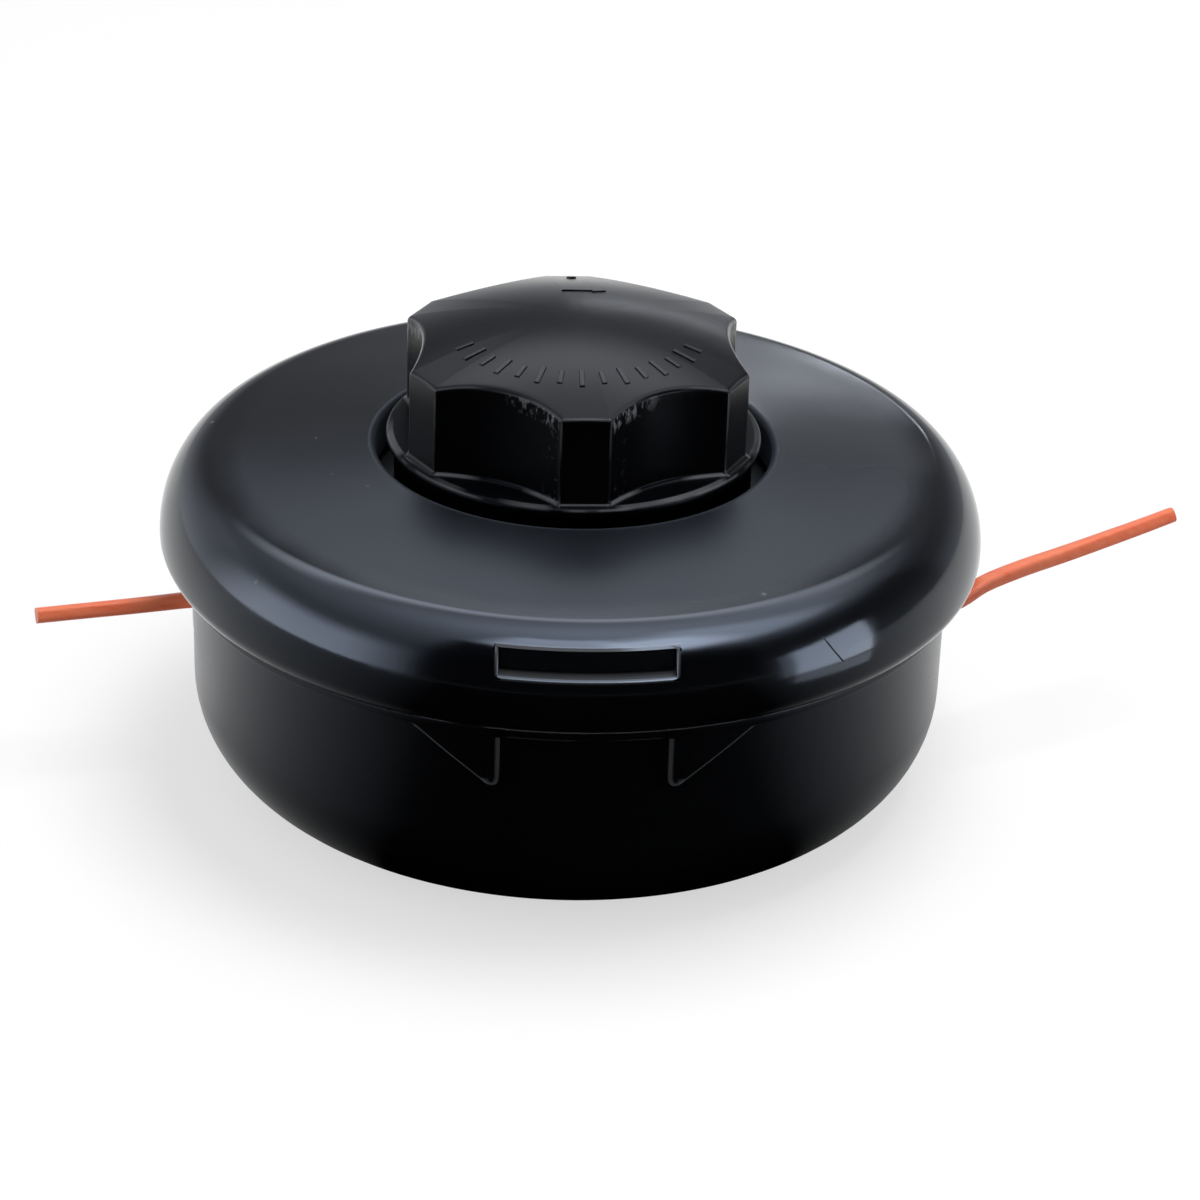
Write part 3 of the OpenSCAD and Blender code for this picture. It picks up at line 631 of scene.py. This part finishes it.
def lobe_points(grown=0.0):
    """The outline of the lobes, grown outwards by some distance."""
    points = []
    round_x = KNOB_R - TIP_ROUND
    far = Vector((scallop_centre * math.cos(math.radians(30)), scallop_centre * math.sin(math.radians(30))))
    round_y = far.y - math.sqrt((scallop_cut + TIP_ROUND) ** 2 - (far.x - round_x) ** 2)
    lean = math.degrees(math.atan2(far.y - round_y, far.x - round_x))
    size = TIP_ROUND + grown
    half = arc((round_x, round_y), (size, size), 0, lean, 5)
    hollow = arc(far, (scallop_cut - grown,) * 2, 180 + lean, 240 - lean, 24)[1:-1]
    tip = [(x, -y) for x, y in reversed(half)] + half + hollow
    for lobe in range(6):
        a = math.radians(30 + 60 * lobe + KNOB_TURN)
        points += [(x * math.cos(a) - y * math.sin(a), x * math.sin(a) + y * math.cos(a)) for x, y in tip]
    return points


def skinned(name, rings):
    """A skin through rings that all have the same number of points, with its ends closed."""
    count = len(rings[0])
    bpy.ops.object.select_all(action="DESELECT")
    bpy.ops.mesh.primitive_grid_add(x_subdivisions=count, y_subdivisions=len(rings) - 1, size=1)
    piece = bpy.context.object
    piece.name = name
    for i, vertex in enumerate(piece.data.vertices):
        vertex.co = Vector(rings[i // (count + 1)][i % (count + 1) % count]) * MM
    bpy.ops.object.mode_set(mode="EDIT")
    bpy.ops.mesh.select_all(action="SELECT")
    bpy.ops.mesh.remove_doubles(threshold=0.0005 * MM)
    bpy.ops.mesh.fill_holes(sides=0)
    bpy.ops.mesh.normals_make_consistent(inside=False)
    bpy.ops.object.mode_set(mode="OBJECT")
    return piece


def on_dome(points, z):
    return [(x, y, z - DOME_DROP * (x * x + y * y)) for x, y in points]


knob_rings = [[(x, y, RING_Z[1] - 0.4) for x, y in lobe_points(FOOT_ROUND)]]
for out, up in arc((FOOT_ROUND, FOOT_ROUND), (FOOT_ROUND, FOOT_ROUND), 270, 180, 5):
    knob_rings.append([(x, y, RING_Z[1] + up) for x, y in lobe_points(out)])
knob_rings.append(on_dome(lobe_points(), KNOB_TOP - 4))
for out, up in arc((-EDGE_ROUND, -EDGE_ROUND), (EDGE_ROUND, EDGE_ROUND), 0, 90, 5):
    knob_rings.append(on_dome(lobe_points(out), KNOB_TOP + up))
top_edge = lobe_points(-EDGE_ROUND)
for share in (0.97, 0.9, 0.8, 0.7, 0.6, 0.5, 0.4, 0.3, 0.2, 0.1, 0.03):
    knob_rings.append(on_dome([(x * share, y * share) for x, y in top_edge], KNOB_TOP))
lobes = skinned("lobes", knob_rings)
knob_foot = turned("knob_foot", [
    (0, RING_Z[0]), (25.2, RING_Z[0]), (25.2, 47.3), (28.2, 47.3), (28.2, RING_Z[0]),
    *arc((RING_R - 0.9, 56.05), (0.9, 0.9), -90, 90, 12), (0, RING_Z[1]),
], 192)

# Raised marks on the end: a fan of short bars over the front half, an arrow and a dot
marks = []
for i in range(15):
    long = 0.5 * (i % 2)
    bar = block((17.6 - long, -0.4, -0.6), (20.4 + long, 0.4, 0.22))
    bpy.ops.object.transform_apply(location=True, rotation=True, scale=True)
    bar.data.transform(Matrix.Rotation(math.radians(203 + 9.6 * i), 4, "Z"))
    marks.append(bar)
for outline in ([(-2, 11.7), (3, 11.7), (3, 12.3), (-2, 12.3)], [(2.8, 11), (5, 12), (2.8, 13)],
                arc((0, 23.6), (0.8, 0.8), 0, 324, 9)):
    mark = outlined("mark", [(x, y, -0.6) for x, y in outline])
    bpy.ops.object.mode_set(mode="EDIT")
    bpy.ops.mesh.select_all(action="SELECT")
    bpy.ops.mesh.extrude_region_move(TRANSFORM_OT_translate={"value": (0, 0, 0.82 * MM)})
    bpy.ops.mesh.select_all(action="SELECT")
    bpy.ops.mesh.normals_make_consistent(inside=False)
    bpy.ops.object.mode_set(mode="OBJECT")
    marks.append(mark)
marks = joined(marks)
soften(marks, 0.12, 2, lambda x, y, z: z > 0.2)
for vertex in marks.data.vertices:
    x, y, z = vertex.co / MM
    vertex.co.z = (KNOB_TOP - DOME_DROP * (x * x + y * y) + z) * MM

knob = joined([lobes, marks])
knob.name = "knob"
even(knob)
even(knob_foot)


def from_lobe(finish, reach=30):
    """Degrees round the axis from the middle of the nearest lobe, or of every other one for 60."""
    turn = finish.y.maths("ARCTAN2", finish.y, finish.x) * (180 / math.pi) - (30 + KNOB_TURN)
    return turn.maths("PINGPONG", turn, reach)


# The walls of the hollows are grained below their top edge. Grey is painted on as highlights: streaks and specks
# on the grain, and lines along the top edges, the upright edges and the feet of the hollows; the raised marks are
# a little lighter
knob_finish = MouldedBlack("knob_black", (0.0016, 0.0017, 0.0022), 0.3, 0.04, 0.35)
off_lobe = from_lobe(knob_finish)
deep = KNOB_TOP - knob_finish.z - knob_finish.away * knob_finish.away * DOME_DROP
wall = knob_finish.span(deep, 0.35, 0.7)
hollow = knob_finish.span(off_lobe, 8, 8.8)
rough_side = from_lobe(knob_finish, 60)
near_lobe = knob_finish.span(rough_side, 30, 17)
grain = knob_finish.noise(0.42 * MM, 2, (1, 1, 0.45))
upper = knob_finish.span(deep, 0.3, 0.55) * knob_finish.span(deep, 3.0, 1.4)
grain_highlight_streaks = knob_finish.span(grain, 0.5, 0.6) * hollow * near_lobe * upper
grain_highlight_specks = knob_finish.span(knob_finish.noise(0.5 * MM, 3), 0.6, 0.68) * hollow * wall
grain_highlight_specks *= knob_finish.span(rough_side, 15, 9.5)
# Painted highlight lines: along the top edges, along the upright edges of the lobes, and at the feet of the
# hollows
top_edge = knob_finish.band(deep, 0.16, 0.3, 0.07) * knob_finish.span(knob_finish.away, 24, 25)
upright = knob_finish.band(off_lobe, 7.35, 7.75, 0.25) * wall * knob_finish.broken(6, 0.4, 0.6)
foot_highlight_line = knob_finish.band(knob_finish.z, 57.1, 57.35, 0.15) * hollow * knob_finish.span(off_lobe, 22, 16)
raised = knob_finish.span(deep, -0.04, -0.12) * knob_finish.span(knob_finish.away, 25, 24.9)
knob_finish.paint_highlights_and_spots(
    grain_highlight_streaks * 0.45 + grain_highlight_specks * 0.08 + top_edge * 0.09 + upright * 0.14 + foot_highlight_line * 0.24 + raised * 0.04)
knob_finish.set("Coat IOR", 1.2)
knob_finish.set("Coat Roughness", 0.22)
knob_finish.set("Coat Weight", 1 - hollow * wall * 0.85)
grained = knob_finish.bump(grain * hollow * upper, 0.2 * MM, 0.4)
knob_finish.set("Normal", knob_finish.bump(knob_finish.noise(0.5 * MM, 3), 0.02 * MM, 0.5, onto=grained))
fit(knob, knob_finish, "feed", "knob_black", "bump_knob")

ring_finish = MouldedBlack("knob_ring_black", (0.0012, 0.0013, 0.0018), 0.35, 0.05)
# Painted highlights: light crescents on the ring's top beside the hollows, and a broken thin line along its rim
crescent_highlight = ring_finish.band(ring_finish.away, 28.5, 29.2, 0.25) * ring_finish.span(from_lobe(ring_finish), 9, 12)
rim_highlight = ring_finish.band(ring_finish.away, 29.2, 29.35, 0.08) * ring_finish.broken(4, 0.45, 0.55)
ring_finish.paint_highlights_and_spots((crescent_highlight * ring_finish.broken(9, 0.35, 0.6) * 0.2 + rim_highlight * 0.12) * ring_finish.span(
    ring_finish.z, 56.2, 56.5))
fit(knob_foot, ring_finish, "feed", "knob_black", "bump_knob")


# Spool, coils and hardware
# The pieces inside: the spool of black nylon with its two coils of line, the brass bushes, the
# spring with its washers, the bolt with its nut, and the arbor nut that the gearbox screws into.
spool_finish = MouldedBlack("spool_black", (0.012, 0.012, 0.013), 0.4, 0.3)
steel_finish = Finish("steel", Base_Color=(0.55, 0.56, 0.58, 1), Metallic=1.0)
steel_grain = steel_finish.noise(0.6 * MM, 3, (1, 1, 0.15))
steel_finish.set("Roughness", steel_finish.span(steel_grain, 0.3, 0.7, 0.26, 0.45))
steel_finish.set("Normal", steel_finish.bump(steel_grain, 0.02 * MM, 0.4))
spring_finish = Finish("spring_steel", Base_Color=(0.32, 0.33, 0.35, 1), Metallic=1.0)
spring_finish.set("Roughness", spring_finish.span(spring_finish.noise(1.5 * MM, 3), 0.3, 0.7, 0.3, 0.5))
brass_finish = Finish("brass", Base_Color=(0.75, 0.55, 0.25, 1), Metallic=1.0)
brass_finish.set("Roughness", brass_finish.span(brass_finish.noise(1.5 * MM, 3), 0.3, 0.7, 0.26, 0.42))
for name, finish in {
    "spool": spool_finish, "arbor_nut": steel_finish, "spring_washer": steel_finish, "spring_seat_washer": steel_finish, "knob_nut": steel_finish,
    "knob_washer": steel_finish, "retaining_bolt": steel_finish, "bolt_washer": steel_finish,
    "hub_sleeve": brass_finish, "spool_bush": brass_finish,
    "line_coil_lower": line_finish, "line_coil_upper": line_finish,
}.items():
    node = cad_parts[name]
    node.data.materials.clear()
    node.data.materials.append(finish.material)

# The spring is wound of 2.2 mm wire with closed ends
SPRING_R = 15.8
WIRE_D = 2.2
SPRING_TURNS = 6
END_RISE = 0.35
spring_low, spring_high = (corner.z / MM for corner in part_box("spring"))
closed = 0.75 / SPRING_TURNS
wire = []
for i in range(48 * SPRING_TURNS + 1):
    t = i / (48 * SPRING_TURNS)
    a = 2 * math.pi * SPRING_TURNS * t
    open_share = max(0, min(1, (t - closed) / (1 - 2 * closed)))
    rise = (END_RISE * min(t, closed) / closed + END_RISE * max(0, t - 1 + closed) / closed
            + (spring_high - spring_low - WIRE_D - 2 * END_RISE) * open_share)
    wire.append((SPRING_R * math.cos(a), SPRING_R * math.sin(a), spring_low + WIRE_D / 2 + rise))
wire_curve = bpy.data.curves.new("spring_wire", "CURVE")
wire_curve.dimensions = "3D"
spline = wire_curve.splines.new("POLY")
spline.points.add(len(wire) - 1)
for point, place in zip(spline.points, wire):
    point.co = (*(Vector(place) * MM), 1)
wire_curve.bevel_depth = WIRE_D / 2 * MM
wire_curve.bevel_resolution = 3
wire_curve.use_fill_caps = True
spring = bpy.data.objects.new("spring_wire", wire_curve)
bpy.context.collection.objects.link(spring)
alone(spring)
bpy.ops.object.convert(target="MESH")
bpy.ops.object.shade_smooth_by_angle(angle=math.radians(40))
fit(spring, spring_finish, "drum", "spring_steel", "spring")
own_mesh(spring)


# Floor and light
# A plain white floor that keeps a soft shadow, in a pale room. One large lamp lights the colours,
# and white cards, which only the gloss shows, stand round the head as in a small studio.
FLOOR_GLOW = 0.62


class Room(Finish):
    """The nodes of the world, written as those of a finish."""

    def __init__(self, name):
        world = bpy.data.worlds.new(name)
        bpy.context.scene.world = world
        world.use_nodes = True
        self.tree = world.node_tree
        self.shader = self.tree.nodes["Background"]


def shown_rays(finish):
    """1 where the eye, a gloss or a glass sees the surface, 0 where it only lights others."""
    return sum(finish.add("ShaderNodeLightPath", output=ray) for ray in (
        "Is Camera Ray", "Is Glossy Ray", "Is Transmission Ray"))


bpy.ops.object.select_all(action="DESELECT")
bpy.ops.mesh.primitive_plane_add(size=6, location=(0, 0, 0))
floor = bpy.context.object
floor.name = "floor"
floor_finish = Finish("floor", Base_Color=(0.45, 0.45, 0.45, 1), Roughness=0.9, Specular_IOR_Level=0.0)
glow = floor_finish.add("ShaderNodeEmission", {}, {
    "Color": (1, 1, 1, 1), "Strength": shown_rays(floor_finish) * FLOOR_GLOW})
lit = Value(floor_finish, floor_finish.shader.outputs[0])
both = floor_finish.add("ShaderNodeAddShader", {}, {0: lit, 1: glow})
floor_finish.tree.links.new(both.socket, floor_finish.tree.nodes["Material Output"].inputs["Surface"])
floor.data.materials.append(floor_finish.material)

# The room is white to the eye. In the gloss it has a bright ceiling, a soft wall on the left and
# a dark side where the photographer stands.
room = Room("room")
towards = room.add("ShaderNodeTexCoord", output="Generated")
side, back, up = (room.add("ShaderNodeSeparateXYZ", {}, {0: towards}, output=axis) for axis in range(3))
degrees = 180 / math.pi
azimuth = side.maths("ARCTAN2", side, 0 - back) * degrees
elevation = up.maths("ARCSINE", up) * degrees


def past(angle, edge, blur):
    """0 before the edge and 1 past it, with a soft step."""
    return room.add("ShaderNodeMapRange", {"interpolation_type": "SMOOTHSTEP"}, {
        "Value": angle, "From Min": edge - blur / 2, "From Max": edge + blur / 2})


def patch(left, right, low, high, blur_across, blur_up):
    """1 inside a part of the room, given in degrees. The camera stands at azimuth 0."""
    return (past(azimuth, left, blur_across) * (1 - past(azimuth, right, blur_across))
            * past(elevation, low, blur_up) * (1 - past(elevation, high, blur_up)))


COOL = (0.95, 0.99, 1.07, 1)
BRIGHTEST = 3.2
dome = room.add("ShaderNodeValToRGB", {"stops": [
    (place, (value / BRIGHTEST,) * 3 + (1,)) for place, value in (
        (0.0, 0.5), (0.3, 0.22), (0.44, 0.2), (0.55, 0.3), (0.66, 0.8), (0.81, 1.25), (0.87, 1.45), (0.95, 2.2), (1.0, 3.2))
]}, {"Fac": up}) * BRIGHTEST
dark_front = patch(-44, 18, -95, 56, 8, 7) + patch(18, 52, -95, 47, 8, 8) + patch(52, 118, -95, 38, 10, 10) * 0.5
left_fill = patch(-145, -48, -8, 36, 40, 14) * 0.7
left_core = patch(-104, -54, -8, 26, 30, 16) * 3.1
front_top = patch(-36, 22, 56, 76, 16, 6) * 4.3
right_top = patch(20, 100, 46, 76, 30, 8) * 2.6
right_front = patch(18, 60, 50.5, 70, 18, 7) * 5.2
right_back = room.span(side, -0.15, 0.35) * room.span(up, 0.66, 0.8)
back_glow = room.span(side * side, 0.2, 0.02) * room.span(up, 0.56, 0.68) * room.span(up, 0.84, 0.74) * room.span(
    back, 0, 0.2)
gloss = room.add("ShaderNodeLightPath", output="Is Glossy Ray")
eye = room.add("ShaderNodeLightPath", output="Is Camera Ray")
glass = room.add("ShaderNodeLightPath", output="Is Transmission Ray")
bright = dome + left_fill + left_core + front_top + right_top + right_front + right_back + back_glow * 2.4
seen = bright * (1 - dark_front * 0.95)
level = (1 - shown_rays(room)) * 0.45 + eye + glass + gloss * seen
room.set("Color", room.mix(gloss, (1, 1, 1, 1), COOL))
room.set("Strength", level)


def soft_box(name, place, aim, size, watts, seen_by=("diffuse", "glossy")):
    """A rectangular lamp whose front looks at the aim. Places and sizes are in millimetres."""
    data = bpy.data.lights.new(name, "AREA")
    data.shape = "RECTANGLE"
    data.size, data.size_y = (side * MM for side in size)
    data.energy = watts
    data.color = COOL[:3] if seen_by == ("glossy",) else (1, 1, 1)
    lamp = bpy.data.objects.new(name, data)
    bpy.context.collection.objects.link(lamp)
    lamp.location = Vector(place) * MM
    lamp.rotation_euler = (Vector(aim) - Vector(place)).to_track_quat("-Z", "Y").to_euler()
    lamp.visible_camera = False
    lamp.visible_diffuse = "diffuse" in seen_by
    lamp.visible_glossy = "glossy" in seen_by
    return lamp


def card(name, place, aim, size, brightness):
    """A white card with a lamp behind it, that many times as bright as white."""
    soft_box(name, place, aim, size, brightness * math.pi * size[0] * size[1] * MM * MM, ("glossy",))


soft_box("key", (150, 60, 900), (0, 0, 30), (500, 400), 4.4, ("diffuse",))
card("right_wall", (160, -97, 55), (0, -97, 55), (76, 66), 5)
card("right_sill", (160, -97, 10), (0, -97, 10), (76, 18), 1.5)
card("right_strip", (160, -144, 55), (0, -144, 55), (12, 66), 1.2)
card("back_right", (150, 700, 255), (39, 30, 53), (230, 22), 5)

# A black flag lies in front of the head, as photographers lay one to deepen a black object. Only
# the gloss shows it, so the floor stays white to the eye.
flag = outlined("flag", [(x, y, 0.3) for x, y in arc((0, 0), (44, 44), -195, 20, 32) + arc((0, 0), (2500, 2500), 20, -195, 32)])
flag_finish = Finish("flag", Base_Color=(0, 0, 0, 1), Roughness=1.0, Specular_IOR_Level=0.0)
where = flag_finish.place()
flag_turn = flag_finish.part(where, 0)
flag_turn = flag_turn.maths("ARCTAN2", flag_turn, 0 - flag_finish.part(where, 1)) * (180 / math.pi)
flag_finish.set("Alpha", flag_finish.band(flag_turn, -34, 40, 65))
flag.data.materials.append(flag_finish.material)
flag.visible_camera = False
flag.visible_diffuse = False
flag.visible_shadow = False
